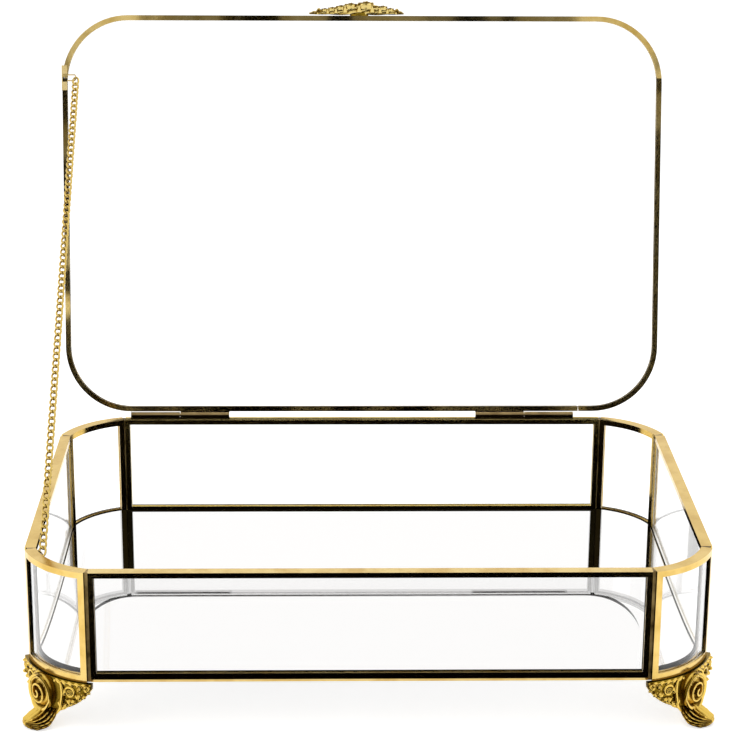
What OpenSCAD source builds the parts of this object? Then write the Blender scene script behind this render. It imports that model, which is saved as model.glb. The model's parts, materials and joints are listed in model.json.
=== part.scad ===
// Glass casket box for papers and keepsakes.
// Eight glass walls, four flat and four bowed round the corners, each stand in a brass
// channel frame. Solder seams join the frames into a ring round a mirror floor, and four
// cast feet carry it. A framed glass lid swings on two pinned hinges at the rear until its
// stay chain draws tight. Lengths are in millimetres. The origin lies on the ground, under
// the middle of the whole object as it stands open.

/* [Box] */
// Width over the wall frames
box_w = 300; // [260:1:360]
// Depth over the wall frames
box_d = 200; // [180:1:240]
// Height of a flat wall's frame
wall_h = 49.5; // [40:0.5:80]
// How far a corner cuts into the front and rear walls
corner_x = 30; // [28:0.5:40]
// How far a corner cuts into the side walls
corner_y = 28.5; // [27:0.5:40]
// Angle that a bowed corner turns through
corner_sweep = 56; // [44:1:64]

/* [Brass channel] */
// Thickness of a wall frame, from its outer to its inner face
came_t = 5; // [4.5:0.1:7]
// Width of the channel's sides round a flat wall
came_leg = 2.4; // [1.8:0.1:4]
// Width of the channel's sides round a bowed corner
corner_leg = 2.8; // [1.8:0.1:4]
// Thickness of the web behind a pane's edge
came_web = 0.6; // [0.4:0.1:1]

/* [Glass] */
// Thickness of the wall and lid panes
pane_t = 3; // [2:0.1:3.2]
// Gap between a pane and its channel
pane_gap = 0.1; // [0.05:0.05:0.2]

/* [Solder seams] */
// Width of a seam at the inner faces
seam_w = 0.5; // [0.3:0.1:1]
// How far a seam lies behind the outer faces
seam_recess = 1; // [0.4:0.1:2]

/* [Floor] */
// Height of the sills under the flat walls
sill_h = 1.5; // [1.2:0.1:2.4]
// How far a sill's outer face slopes in towards its foot
sill_slope = 0.8; // [0.2:0.1:1.2]
// Reach of a sill's lip under the mirror
lip_reach = 3; // [1.5:0.5:6]
// Thickness of the lip
lip_t = 0.6; // [0.4:0.1:1]
// Thickness of the mirror
mirror_t = 2; // [1.6:0.1:3]
// Gap round the mirror
mirror_gap = 0.2; // [0.1:0.05:0.4]

/* [Feet] */
// Height of the feet under the corner frames
foot_h = 23.5; // [20:0.5:30]
// Thickness of a foot's apron
apron_t = 3.3; // [2.4:0.1:4]
// How far the apron stands out past the corner frame
apron_proud = 0.8; // [0.3:0.1:1.5]
// How far the apron's wings run on past the corner frame
apron_over = 2.5; // [0:0.5:5]
// Depth of the apron at its middle
apron_drop = 15; // [13:0.5:16]
// Depth of the apron at its wing tips
apron_tip = 2; // [1:0.5:4]
// Radius of the cast rose
rose_r = 7.4; // [4:0.1:7.6]
// Depth of the rose's middle below the frame
rose_drop = 8.4; // [8:0.1:9]
// Radius of the large scrolls on the wings
scroll_r = 3; // [2:0.1:3.5]
// Radius of the toe's ball
toe_r = 6.5; // [6:0.1:8]
// Height of the middle of the toe's ball
toe_z = 5.4; // [4:0.1:5.9]
// How far the toe stands out past the corner frame
toe_out = 6; // [2:0.5:7]
// Radius of the leg between apron and toe
leg_r = 5; // [4:0.1:6]

/* [Lid] */
// Depth of the lid from hinge edge to front edge
lid_d = 199; // [178:1:238]
// Thickness of the lid's channel
lid_t = 4; // [3.8:0.1:5]
// Width of the lid channel's sides
lid_leg = 2.5; // [1.8:0.1:4]
// Outer radius of the lid's corners
lid_r = 33; // [24:1:40]
// Gap between the closed lid and the rim
lid_gap = 0.3; // [0.3:0.05:0.6]
// Angle that the lid stands open at
open_angle = 101.3; // [95:0.1:110]
// Place of the channel's joint along the rear edge
joint_x = 110; // [60:1:112]
// Gap where the channel's two lengths meet
joint_gap = 0.4; // [0.2:0.1:0.6]
// Length of the sleeve over the channel's left joint
sleeve_len = 12.3; // [9:0.1:20]
// Sheet thickness of the sleeve
sleeve_t = 0.2; // [0.1:0.05:0.25]
// Distance of the sleeve's middle from the lid's front edge
sleeve_at = 31; // [30:0.5:40]

/* [Hinges] */
// Length of a hinge
hinge_len = 49.8; // [30:0.1:60]
// Distance of the left hinge's middle from the box's left side
left_hinge_in = 57.5; // [55:0.5:90]
// Distance of the right hinge's middle from the box's right side
right_hinge_in = 67.5; // [58:0.5:90]
// Distance of the pin's axis behind the box
hinge_back = 1.8; // [1.8:0.1:2.4]
// Height of the pin's axis over the rim
hinge_up = 0.5; // [0.4:0.05:0.7]
// Radius of the hinge tubes
tube_r = 1.5; // [1.3:0.1:1.5]
// Radius of the hinge pins
pin_r = 0.6; // [0.4:0.05:0.7]
// Running clearance round a pin
pin_gap = 0.06; // [0.02:0.01:0.1]
// Wall left at the closed end of a tube
tube_end = 1; // [0.5:0.1:2]
// Gap between a hinge's two tubes
knuckle_gap = 0.2; // [0.1:0.05:0.4]
// Thickness of the strip that ties a tube to its frame
tie_t = 0.65; // [0.4:0.05:0.8]

/* [Thumb ornament] */
// Length of the cast spray
spray_len = 48.4; // [40:0.1:60]
// Height of the spray's backing
spray_h = 8; // [6:0.1:10]
// Bow of the backing at its middle
spray_bow = 2.6; // [2:0.1:4]
// Distance of the spray's middle to the left of the lid's
spray_x = 2; // [0:0.5:6]
// Length of the stud that holds it off the lid
stud_len = 0.9; // [0.4:0.1:2]
// Width of the stud
stud_w = 7.7; // [4:0.1:12]
// Radius of the spray's middle rose
spray_rose_r = 4; // [3:0.1:4.4]
// How far the roses are sunk into the backing
spray_sink = 1; // [0.4:0.1:1.4]
// How far the roses' middles lie above the lid's mid-height
spray_lift = 0.6; // [0:0.1:1]

/* [Stay chain] */
// Number of links
link_count = 77; // [77:2:79]
// Radius of the links' wire
wire_r = 0.45; // [0.3:0.05:0.5]
// Distance of a link's long sides from its middle line
link_half = 1.35; // [1.2:0.05:1.5]
// Play between linked wires
link_play = 0.2; // [0.1:0.05:0.3]
// Radius of the wire of the two staples that hold the chain
staple_wire_r = 0.3; // [0.2:0.05:0.32]
// Half the width of the box's staple
box_staple_half = 2.2; // [2.1:0.05:2.4]
// Half the width of the lid's staple
lid_staple_half = 1.45; // [1.4:0.05:1.8]
// Tilt of the box's staple from the ground
box_staple_tilt = 85; // [82:1:88]
// Distance of the box's staple from the box's front
box_staple_at = 26; // [25:0.5:27]
// Depth of the box's staple below the rim
box_staple_drop = 2.6; // [2.4:0.1:4]
// Depth of the lid staple's tip below the closed lid
lid_staple_drop = 2.2; // [1.6:0.1:3]
// Distance of the chain from the box's side at its lower end
chain_side_low = 8; // [7.5:0.1:9]
// Distance of the chain from the box's side at its upper end
chain_side_high = 7; // [6.9:0.1:8]

/* [Hidden] */

// Arcs are drawn with this many sides where they stay true curves.
$fn = 96;
// A little more than the depth of any cut.
cut = 1;

brass = [0.83, 0.64, 0.28];
dark_brass = [0.55, 0.42, 0.2];
cast_gold = [0.78, 0.6, 0.2];
clear_glass = [0.85, 0.93, 0.92, 0.35];
silvered = [0.8, 0.83, 0.85];

// Heights of the stack: sills and corner frames stand on the feet's plane.
wall_z = foot_h + sill_h;
rim_z = wall_z + wall_h;
corner_h = sill_h + wall_h;
mirror_z = foot_h + lip_t;
lid_z = rim_z + lid_gap;

// Lengths of the flat walls.
front_len = box_w - 2 * corner_x;
side_len = box_d - 2 * corner_y;

// A bowed corner's inner face runs from bow_a, at the rear wall, to bow_b, at the side.
inner_x = box_w / 2 - came_t;
inner_y = box_d / 2 - came_t;
bow_a = [box_w / 2 - corner_x + seam_w, inner_y];
bow_b = [inner_x, box_d / 2 - corner_y + seam_w];
bow_in = norm(bow_b - bow_a) / 2 / sin(corner_sweep / 2);
bow_out = bow_in + came_t;
bow_dir = atan2(bow_b[1] - bow_a[1], bow_b[0] - bow_a[0]) + 90;
bow_mid = (bow_a + bow_b) / 2 - bow_in * cos(corner_sweep / 2) * heading(bow_dir);

// The hinges' axis and the lid's outline, with the lid shut.
hinge_y = box_d / 2 + hinge_back;
hinge_z = rim_z + hinge_up;
left_hinge_x = left_hinge_in - box_w / 2;
right_hinge_x = box_w / 2 - right_hinge_in;
lid_front = box_d / 2 - lid_d;
sleeve_y = lid_front + sleeve_at;

// The chain's two pivots: the middles of the end wires that turn on the staples.
grip = wire_r + staple_wire_r + link_play / 4;
box_tip = [-box_w / 2 + chain_side_low, box_staple_at - box_d / 2, rim_z - box_staple_drop];
lid_tip = [-box_w / 2 + chain_side_high, sleeve_y, lid_z - lid_staple_drop];
// The lid's staple runs in over the rim, under the glass, and bends down inside the wall.
bend_clear = 0.15;
bend_swell = 0.05;
lid_bend = [-box_w / 2 + came_t + staple_wire_r + bend_clear, sleeve_y,
            (rim_z + lid_z + (lid_t - pane_t) / 2) / 2];
chain_low = box_tip + grip * [0, -sin(box_staple_tilt), cos(box_staple_tilt)];
chain_high = opened(lid_tip + grip * [0, 0, 1]);
end_reach = link_play / 2 + wire_r;
chain_run = chain_high - chain_low;
pitch = (norm(chain_run) - 2 * end_reach) / link_count;
chain_rise = atan2(chain_run[2], chain_run[1]);
chain_slant = asin(chain_run[0] / norm(chain_run));

// The claw: a short bar across the front of the toe's ball.
claw_r = 2.2;
claw_at = bow_out + toe_out + toe_r - 1.6;
claw_up = 0.8;

// The whole object is centred front to back over its open outline, which runs from the
// front feet to the highest rose of the thumb ornament.
spray_top = [0, lid_front - stud_len - spray_sink - rose_height(0, spray_rose_r),
             lid_z + lid_t / 2 + spray_lift + spray_rose_r];
apron_half = corner_sweep / 2 + bow_angle(apron_over);
wing_y = bow_mid[1] + (bow_out + apron_proud) * sin(bow_dir + apron_half);
toe_y = bow_mid[1] + (claw_at + claw_r) * sin(bow_dir) + toe_r / 2 * cos(bow_dir);
box_y = (max(wing_y, toe_y) - opened(spray_top)[1]) / 2;

// Links in each stretch that folds as one when the lid is shut: down from the box's staple,
// along the floor, up the turn at the far end, and down from the lid's staple. The upper run
// has the rest.
drop_links = 16;
run_links = 22;
turn_links = 4;
lid_links = 13;

// Degrees that a width covers on a corner's outer face.
function bow_angle(width) = width / bow_out * 180 / PI;

// Height of a rose of radius r on the ornament, at a distance x from its middle.
function rose_height(x, r) = spray_bow * (1 - abs(x) / spray_len * 2) + r * 0.2;

function heading(a) = [cos(a), sin(a)];

// Where a point of the shut lid lies once the lid stands open.
function opened(p) = [
    p[0],
    hinge_y + (p[1] - hinge_y) * cos(open_angle) + (p[2] - hinge_z) * sin(open_angle),
    hinge_z - (p[1] - hinge_y) * sin(open_angle) + (p[2] - hinge_z) * cos(open_angle)
];

// Moves what is drawn about the box's own middle to its place over the origin.
module placed() {
    translate([0, box_y, 0]) children();
}

// Turns what is drawn on the shut lid to the open position.
module on_lid() {
    placed()
        translate([0, hinge_y, hinge_z])
            rotate([-open_angle, 0, 0])
                translate([0, -hinge_y, -hinge_z])
                    children();
}

// Takes what is drawn at the rear right corner to the corner on side sx, sy.
module at_corner(sx, sy) {
    placed()
        if (sx < 0 && sy < 0) rotate(180) children();
        else if (sx < 0) mirror([1, 0, 0]) children();
        else if (sy < 0) mirror([0, 1, 0]) children();
        else children();
}

// Puts a wall drawn along X, outer face at y = 0, at a compass turn and distance.
module at_wall(turn, distance) {
    placed() rotate(turn) translate([0, -distance, 0]) children();
}

// ---- Flat walls ----

// A brass channel frame round a flat pane.
module flat_frame(length) {
    groove = pane_t + 2 * pane_gap;
    color(brass)
        translate([0, 0, wall_z])
            difference() {
                translate([-length / 2, 0, 0]) cube([length, came_t, wall_h]);
                translate([came_leg - length / 2, -cut, came_leg])
                    cube([length - 2 * came_leg, came_t + 2 * cut, wall_h - 2 * came_leg]);
                translate([came_web - length / 2, (came_t - groove) / 2, came_web])
                    cube([length - 2 * came_web, groove, wall_h - 2 * came_web]);
            }
}

// The glass held in a flat frame.
module flat_pane(length) {
    edge = came_web + pane_gap;
    color(clear_glass)
        translate([edge - length / 2, (came_t - pane_t) / 2, wall_z + edge])
            cube([length - 2 * edge, pane_t, wall_h - 2 * edge]);
}

// An L-shaped sill: its body closes the wall's underside and its lip carries the mirror.
module sill(length) {
    color(brass)
        translate([-length / 2, 0, foot_h])
            rotate([90, 0, 90])
                linear_extrude(length)
                    polygon([
                        [sill_slope, 0], [came_t + lip_reach, 0], [came_t + lip_reach, lip_t],
                        [came_t, lip_t], [came_t, sill_h], [0, sill_h]
                    ]);
}

// ---- Bowed corners ----

// A ring sector between two radii, trimmed by inset degrees at each end.
module bow_sector(r0, r1, z0, height, trim) {
    translate([bow_mid[0], bow_mid[1], z0])
        rotate(bow_dir - corner_sweep / 2 + trim)
            rotate_extrude(angle = corner_sweep - 2 * trim)
                translate([r0, 0]) square([r1 - r0, height]);
}

// A brass channel frame bowed round a corner.
module bowed_frame() {
    side = (came_t - pane_t) / 2 - pane_gap;
    color(brass)
        difference() {
            bow_sector(bow_in, bow_out, foot_h, corner_h, 0);
            bow_sector(bow_in - cut, bow_out + cut, foot_h + corner_leg,
                       corner_h - 2 * corner_leg, bow_angle(corner_leg));
            bow_sector(bow_in + side, bow_out - side, foot_h + came_web,
                       corner_h - 2 * came_web, bow_angle(came_web));
        }
}

// The bent glass held in a bowed frame.
module bowed_pane() {
    edge = came_web + pane_gap;
    side = (came_t - pane_t) / 2;
    color(clear_glass)
        bow_sector(bow_in + side, bow_out - side, foot_h + edge, corner_h - 2 * edge,
                   bow_angle(edge));
}

// Solder between the rear wall's frame and the corner's.
module seam_at_rear() {
    inner = [box_w / 2 - corner_x, inner_y];
    bow_end = bow_mid + (bow_out - seam_recess) * heading(bow_dir + corner_sweep / 2);
    flat_end = [inner[0], box_d / 2 - seam_recess];
    color(dark_brass)
        translate([0, 0, foot_h])
            linear_extrude(corner_h) polygon([inner, bow_a, bow_end, flat_end]);
}

// Solder between the side wall's frame and the corner's.
module seam_at_side() {
    inner = [inner_x, box_d / 2 - corner_y];
    bow_end = bow_mid + (bow_out - seam_recess) * heading(bow_dir - corner_sweep / 2);
    flat_end = [box_w / 2 - seam_recess, inner[1]];
    color(dark_brass)
        translate([0, 0, foot_h])
            linear_extrude(corner_h) polygon([inner, flat_end, bow_end, bow_b]);
}

// ---- Floor ----

// The mirror: the room inside the walls, less a gap all round.
module mirror_plate() {
    r = bow_in - mirror_gap;
    a = bow_mid + r * heading(bow_dir + corner_sweep / 2);
    b = bow_mid + r * heading(bow_dir - corner_sweep / 2);
    color(silvered)
        placed()
            translate([0, 0, mirror_z])
                linear_extrude(mirror_t)
                    intersection() {
                        square(2 * [inner_x - mirror_gap, inner_y - mirror_gap], center = true);
                        union() {
                            polygon([
                                [a[0], a[1]], [b[0], b[1]], [b[0], -b[1]], [a[0], -a[1]],
                                [-a[0], -a[1]], [-b[0], -b[1]], [-b[0], b[1]], [-a[0], a[1]]
                            ]);
                            for (sx = [-1, 1], sy = [-1, 1])
                                translate([sx * bow_mid[0], sy * bow_mid[1]]) circle(r);
                        }
                    }
}

// ---- Feet ----

// A round moulding: a disc with a raised rim, on an axis along +X.
module boss(r, height) {
    rotate([0, 90, 0]) {
        cylinder(r = r, h = height);
        translate([0, 0, height])
            rotate_extrude() translate([r * 0.68, 0]) circle(r * 0.24);
    }
}

// A rose: a disc, two rings of petals and a bud, on an axis along +X.
module rose(r, height) {
    boss(r, height);
    rotate([0, 90, 0]) {
        translate([0, 0, height])
            rotate_extrude() translate([r * 0.32, r * 0.12]) circle(r * 0.2);
        translate([0, 0, height + r * 0.12]) sphere(r * 0.26);
    }
}

// A cast foot: an apron that hugs the corner, with a rose and scrolls, on a leg and toe.
module foot() {
    half = bow_out * sin(apron_half);
    rise = apron_drop - apron_tip;
    apron_r = (half * half + rise * rise) / 2 / rise;
    face = bow_out + apron_proud;
    leg_from = [bow_out - 1, foot_h - apron_drop + leg_r];
    leg_to = [bow_out + toe_out, toe_z];
    leg_tilt = atan2(leg_to[0] - leg_from[0], leg_from[1] - leg_to[1]);
    rose_stand = 1.6;
    gap = 1.4;
    color(cast_gold)
        translate([bow_mid[0], bow_mid[1], 0])
            rotate(bow_dir)
                difference() {
                    union() {
                        intersection() {
                            translate([0, 0, foot_h - apron_drop])
                                rotate(-apron_half)
                                    rotate_extrude(angle = 2 * apron_half)
                                        translate([face - apron_t, 0])
                                            square([apron_t, apron_drop]);
                            translate([0, 0, foot_h - apron_drop + apron_r])
                                rotate([0, 90, 0]) cylinder(r = apron_r, h = face + cut);
                        }
                        translate([face - apron_proud, 0, foot_h - rose_drop])
                            rose(rose_r, apron_proud + rose_stand);
                        for (side = [-1, 1]) {
                            rotate(side * bow_angle(rose_r + scroll_r + gap))
                                translate([face - apron_proud, 0, foot_h - scroll_r - gap])
                                    boss(scroll_r, apron_proud + rose_stand / 2);
                            rotate(side * bow_angle(rose_r + 3 * scroll_r + gap))
                                translate([face - apron_proud, 0, foot_h - scroll_r])
                                    boss(scroll_r * 0.6, apron_proud + rose_stand / 4);
                        }
                        translate([leg_from[0], 0, leg_from[1]]) {
                            sphere(leg_r);
                            rotate([0, 180 - leg_tilt, 0])
                                cylinder(r = leg_r, h = norm(leg_to - leg_from));
                        }
                        translate([leg_to[0], 0, toe_z]) sphere(toe_r);
                        translate([claw_at, 0, toe_z + claw_up])
                            rotate([90, 0, 0]) cylinder(r = claw_r, h = toe_r, center = true);
                    }
                    translate([0, 0, -toe_r - cut])
                        cylinder(r = bow_out + toe_out + 2 * toe_r, h = toe_r + cut);
                }
}

// ---- Hinges ----

// One tube of a hinge, from x = 0 at the split to a closed end at x = -length.
// A strip ties it to its frame: below the axis on the box, above it on the lid.
module knuckle(tie_z) {
    length = (hinge_len - knuckle_gap) / 2;
    color(brass)
        translate([0, hinge_y, hinge_z])
            difference() {
                union() {
                    translate([-length, 0, 0]) rotate([0, 90, 0]) cylinder(r = tube_r, h = length);
                    translate([-length, -hinge_back, tie_z]) cube([length, hinge_back, tie_t]);
                }
                translate([tube_end - length, 0, 0])
                    rotate([0, 90, 0]) cylinder(r = pin_r + pin_gap, h = length);
            }
}

box_tie_z = -tube_r + 0.1;
lid_tie_z = tube_r - tie_t - 0.1;

// The two tubes of a hinge: the box's on the side that faces away from the middle.
module box_tube(x, side) {
    placed() translate([x + side * knuckle_gap / 2, 0, 0])
        if (side < 0) knuckle(box_tie_z);
        else mirror([1, 0, 0]) knuckle(box_tie_z);
}

module lid_tube(x, side) {
    on_lid() translate([x + side * knuckle_gap / 2, 0, 0])
        if (side < 0) knuckle(lid_tie_z);
        else mirror([1, 0, 0]) knuckle(lid_tie_z);
}

module hinge_pin(x) {
    length = hinge_len - 2 * tube_end - 2 * knuckle_gap;
    color(dark_brass)
        placed()
            translate([x - length / 2, hinge_y, hinge_z])
                rotate([0, 90, 0]) cylinder(r = pin_r, h = length);
}

// ---- Lid ----

// A rectangle with round corners, centred on the lid.
module lid_outline(inset) {
    w = box_w - 2 * inset;
    d = lid_d - 2 * inset;
    r = lid_r - inset;
    translate([0, lid_front + lid_d / 2]) {
        square([w - 2 * r, d], center = true);
        square([w, d - 2 * r], center = true);
        for (sx = [-1, 1], sy = [-1, 1])
            translate([sx * (w / 2 - r), sy * (d / 2 - r)]) circle(r);
    }
}

module lid_glass() {
    color(clear_glass)
        on_lid()
            translate([0, 0, lid_z + (lid_t - pane_t) / 2])
                linear_extrude(pane_t) lid_outline(came_web + pane_gap);
}

// The whole channel round the lid's glass, shut.
module lid_channel() {
    groove = pane_t + 2 * pane_gap;
    translate([0, 0, lid_z])
        difference() {
            linear_extrude(lid_t) lid_outline(0);
            translate([0, 0, -cut]) linear_extrude(lid_t + 2 * cut) lid_outline(lid_leg);
            translate([0, 0, (lid_t - groove) / 2]) linear_extrude(groove) lid_outline(came_web);
        }
}

// The ground that the channel's rear length covers, grown by a gap at its two joints.
module rear_length(grow) {
    far = lid_r + lid_leg;
    translate([0, 0, lid_z - cut])
        linear_extrude(lid_t + 2 * cut) {
            translate([-box_w / 2 - cut, box_d / 2 - far])
                square([box_w / 2 + cut + joint_x + grow, far + cut]);
            translate([-box_w / 2 - cut, sleeve_y - grow])
                square([cut + lid_r, box_d / 2 - far - sleeve_y + 2 * cut]);
        }
}

module channel_front() {
    color(brass) on_lid() difference() { lid_channel(); rear_length(joint_gap / 2); }
}

module channel_rear() {
    color(brass) on_lid() intersection() { lid_channel(); rear_length(-joint_gap / 2); }
}

// The sleeve over the joint at the lid's left, notched where the staple is soldered in.
module sleeve() {
    notch = 2 * lid_staple_half + 2 * staple_wire_r + 0.4;
    color(brass)
        on_lid()
            translate([-box_w / 2, sleeve_y, lid_z])
                difference() {
                    translate([-sleeve_t, -sleeve_len / 2, -sleeve_t])
                        cube([sleeve_t + lid_leg, sleeve_len, lid_t + 2 * sleeve_t]);
                    translate([0, -sleeve_len / 2 - cut, 0])
                        cube([lid_leg + cut, sleeve_len + 2 * cut, lid_t]);
                    translate([sleeve_t, -notch / 2, -sleeve_t - cut])
                        cube([lid_leg + cut, notch, sleeve_t + cut]);
                }
}

// A spray of roses on a bowed backing, held off the lid's front edge by a stud.
module spray() {
    base = lid_front - stud_len;
    half = spray_len / 2;
    bow_r = (half * half + spray_bow * spray_bow) / 2 / spray_bow;
    z = lid_z + lid_t / 2;
    color(cast_gold)
        on_lid()
            translate([-spray_x, 0, 0]) {
                translate([-stud_w / 2, base, lid_z]) cube([stud_w, stud_len, lid_t]);
                translate([0, 0, lid_z])
                    intersection() {
                        translate([0, base + bow_r - spray_bow, 0])
                            cylinder(r = bow_r, h = lid_t / 2 + spray_h / 2, $fn = 360);
                        translate([-half, base - spray_bow, 0])
                            cube([spray_len, spray_bow, lid_t / 2 + spray_h / 2]);
                        translate([0, base + cut, lid_t / 2])
                            rotate([90, 0, 0]) spray_outline(half);
                    }
                for (at = [[0, 1], [-0.23, 0.8], [0.23, 0.8], [-0.37, 0.58], [0.37, 0.58]])
                    translate([at[0] * spray_len, base - spray_sink, z + spray_lift])
                        rotate(-90)
                            rose(at[1] * spray_rose_r,
                                 rose_height(at[0] * spray_len, at[1] * spray_rose_r));
            }
}

// The backing seen from the front: a bar with round ends and a round middle.
module spray_outline(half) {
    linear_extrude(spray_bow + 2 * cut) {
        end_r = spray_h / 3.2;
        circle(spray_h / 2);
        square([2 * (half - end_r), 2 * end_r], center = true);
        for (side = [-1, 1]) translate([side * (half - end_r), 0]) circle(end_r);
    }
}

// ---- Chain ----

// A staple of bent wire: two legs along -X and a half ring whose tip lies at the origin.
module staple(half, legs) {
    color(brass)
        translate([-half, 0, 0]) {
            rotate(-90)
                rotate_extrude(angle = 180) translate([half, 0]) circle(staple_wire_r, $fn = 32);
            for (side = [-1, 1])
                translate([-legs, side * half, 0])
                    rotate([0, 90, 0]) cylinder(r = staple_wire_r, h = legs, $fn = 32);
        }
}

// The staple on the lid, soldered to the inner side of the channel at the sleeve's notch.
module lid_eye() {
    slant = lid_bend - lid_tip;
    on_lid()
        difference() {
            union() {
                translate(lid_tip)
                    rotate([0, atan2(slant[2], -slant[0]), 0])
                        staple(lid_staple_half, norm(slant) - lid_staple_half);
                for (side = [-1, 1])
                    translate(lid_bend + [0, side * lid_staple_half, 0]) {
                        sphere(staple_wire_r + bend_swell, $fn = 32);
                        rotate([0, -90, 0])
                            cylinder(r = staple_wire_r, h = lid_bend[0] + box_w / 2 - cut, $fn = 32);
                    }
            }
            translate([0, 0, lid_z - cut])
                linear_extrude(lid_t + 2 * cut)
                    difference() {
                        lid_outline(-cut);
                        lid_outline(lid_leg);
                    }
        }
}

// The staple on the box, soldered to the inner face of the corner frame.
module box_eye() {
    placed()
        difference() {
            translate(box_tip)
                rotate([box_staple_tilt, 0, 0])
                    staple(box_staple_half, came_t / 2);
            rotate(180) bow_sector(bow_in, bow_out, foot_h, corner_h, 0);
        }
}

// Half a link: a half ring and its two arms, from y = 0 up, of round wire.
module half_link() {
    arm = (pitch + link_play) / 2 + wire_r - link_half;
    translate([0, arm, 0]) {
        rotate_extrude(angle = 180) translate([link_half, 0]) circle(wire_r, $fn = 24);
        for (side = [-1, 1])
            translate([side * link_half, 0, 0])
                rotate([90, 0, 0]) cylinder(r = wire_r, h = arm, $fn = 24);
    }
}

// A link, its length along Z.
module link() {
    rotate([90, 0, 0]) {
        half_link();
        rotate(180) half_link();
    }
}

// Links first to last of the taut chain; even ones lie flat, odd ones stand on edge.
module links(first, last) {
    color(cast_gold)
        placed()
            translate(chain_low)
                rotate([chain_rise - 90, 0, 0])
                    rotate([0, chain_slant, 0])
                        for (i = [first : last])
                            translate([0, 0, end_reach + (i + 0.5) * pitch])
                                rotate(i % 2 * 90) link();
}

drop_end = drop_links;
run_end = drop_end + run_links;
turn_end = run_end + turn_links;
lid_start = link_count - lid_links;

// ---- Parts ----

module front_frame() { at_wall(0, box_d / 2) flat_frame(front_len); }
module front_pane() { at_wall(0, box_d / 2) flat_pane(front_len); }
module front_sill() { at_wall(0, box_d / 2) sill(front_len); }
module rear_frame() { at_wall(180, box_d / 2) flat_frame(front_len); }
module rear_pane() { at_wall(180, box_d / 2) flat_pane(front_len); }
module rear_sill() { at_wall(180, box_d / 2) sill(front_len); }
module left_frame() { at_wall(-90, box_w / 2) flat_frame(side_len); }
module left_pane() { at_wall(-90, box_w / 2) flat_pane(side_len); }
module left_sill() { at_wall(-90, box_w / 2) sill(side_len); }
module right_frame() { at_wall(90, box_w / 2) flat_frame(side_len); }
module right_pane() { at_wall(90, box_w / 2) flat_pane(side_len); }
module right_sill() { at_wall(90, box_w / 2) sill(side_len); }

front_frame();
front_pane();
rear_frame();
rear_pane();
left_frame();
left_pane();
right_frame();
right_pane();

at_corner(-1, -1) bowed_frame();  // front_left_frame
at_corner(-1, -1) bowed_pane();  // front_left_pane
at_corner(1, -1) bowed_frame();  // front_right_frame
at_corner(1, -1) bowed_pane();  // front_right_pane
at_corner(-1, 1) bowed_frame();  // rear_left_frame
at_corner(-1, 1) bowed_pane();  // rear_left_pane
at_corner(1, 1) bowed_frame();  // rear_right_frame
at_corner(1, 1) bowed_pane();  // rear_right_pane

at_corner(-1, -1) seam_at_rear();  // seam_front_left
at_corner(1, -1) seam_at_rear();  // seam_front_right
at_corner(-1, 1) seam_at_rear();  // seam_rear_left
at_corner(1, 1) seam_at_rear();  // seam_rear_right
at_corner(-1, -1) seam_at_side();  // seam_left_front
at_corner(1, -1) seam_at_side();  // seam_right_front
at_corner(-1, 1) seam_at_side();  // seam_left_rear
at_corner(1, 1) seam_at_side();  // seam_right_rear

front_sill();
rear_sill();
left_sill();
right_sill();
mirror_plate();  // mirror_floor

at_corner(-1, -1) foot();  // foot_front_left
at_corner(1, -1) foot();  // foot_front_right
at_corner(-1, 1) foot();  // foot_rear_left
at_corner(1, 1) foot();  // foot_rear_right

box_tube(left_hinge_x, -1);  // left_hinge_box_tube
hinge_pin(left_hinge_x);  // left_hinge_pin
lid_tube(left_hinge_x, 1);  // left_hinge_lid_tube
box_tube(right_hinge_x, 1);  // right_hinge_box_tube
hinge_pin(right_hinge_x);  // right_hinge_pin
lid_tube(right_hinge_x, -1);  // right_hinge_lid_tube

lid_glass();  // lid_pane
channel_front();  // lid_channel_front
channel_rear();  // lid_channel_rear
sleeve();  // lid_sleeve
spray();  // thumb_ornament
lid_eye();  // lid_staple
box_eye();  // box_staple

links(0, drop_end - 1);  // chain_box_drop
links(drop_end, run_end - 1);  // chain_floor_run
links(run_end, turn_end - 1);  // chain_turn
links(turn_end, lid_start - 1);  // chain_upper_run
links(lid_start, link_count - 1);  // chain_lid_drop
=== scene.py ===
import json

import bmesh
import bpy
import numpy as np
from mathutils import Matrix, Vector


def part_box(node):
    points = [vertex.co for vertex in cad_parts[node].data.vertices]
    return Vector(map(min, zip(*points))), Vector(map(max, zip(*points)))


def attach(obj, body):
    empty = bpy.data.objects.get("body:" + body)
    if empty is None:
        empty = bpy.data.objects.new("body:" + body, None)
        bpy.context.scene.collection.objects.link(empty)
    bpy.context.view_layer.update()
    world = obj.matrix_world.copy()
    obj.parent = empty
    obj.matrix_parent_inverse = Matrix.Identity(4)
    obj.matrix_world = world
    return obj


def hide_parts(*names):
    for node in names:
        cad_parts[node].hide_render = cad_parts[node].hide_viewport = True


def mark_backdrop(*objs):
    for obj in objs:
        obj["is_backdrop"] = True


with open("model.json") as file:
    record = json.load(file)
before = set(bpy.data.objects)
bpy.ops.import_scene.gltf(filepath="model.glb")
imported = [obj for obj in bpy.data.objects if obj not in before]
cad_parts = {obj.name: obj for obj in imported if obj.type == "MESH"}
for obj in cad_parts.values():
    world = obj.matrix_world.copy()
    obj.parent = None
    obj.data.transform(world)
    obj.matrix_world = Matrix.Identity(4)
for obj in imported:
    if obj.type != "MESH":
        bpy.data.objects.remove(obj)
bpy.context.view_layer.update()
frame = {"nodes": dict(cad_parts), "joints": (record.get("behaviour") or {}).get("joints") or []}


# ---------------------------------------------------------------------------------------
# Camera: a long lens a metre in front of the casket, a little to the left of its middle,
# looking down at eighteen degrees. It leans by a third of a degree.
# ---------------------------------------------------------------------------------------
camera_at = (-0.021941, -1.001597, 0.452126)
camera_down, camera_turn, camera_lean = np.radians((18.051, 1.31, 0.379))
sensor = 36.0
focal_pixels, picture_pixels = 2247.104, 736


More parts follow.
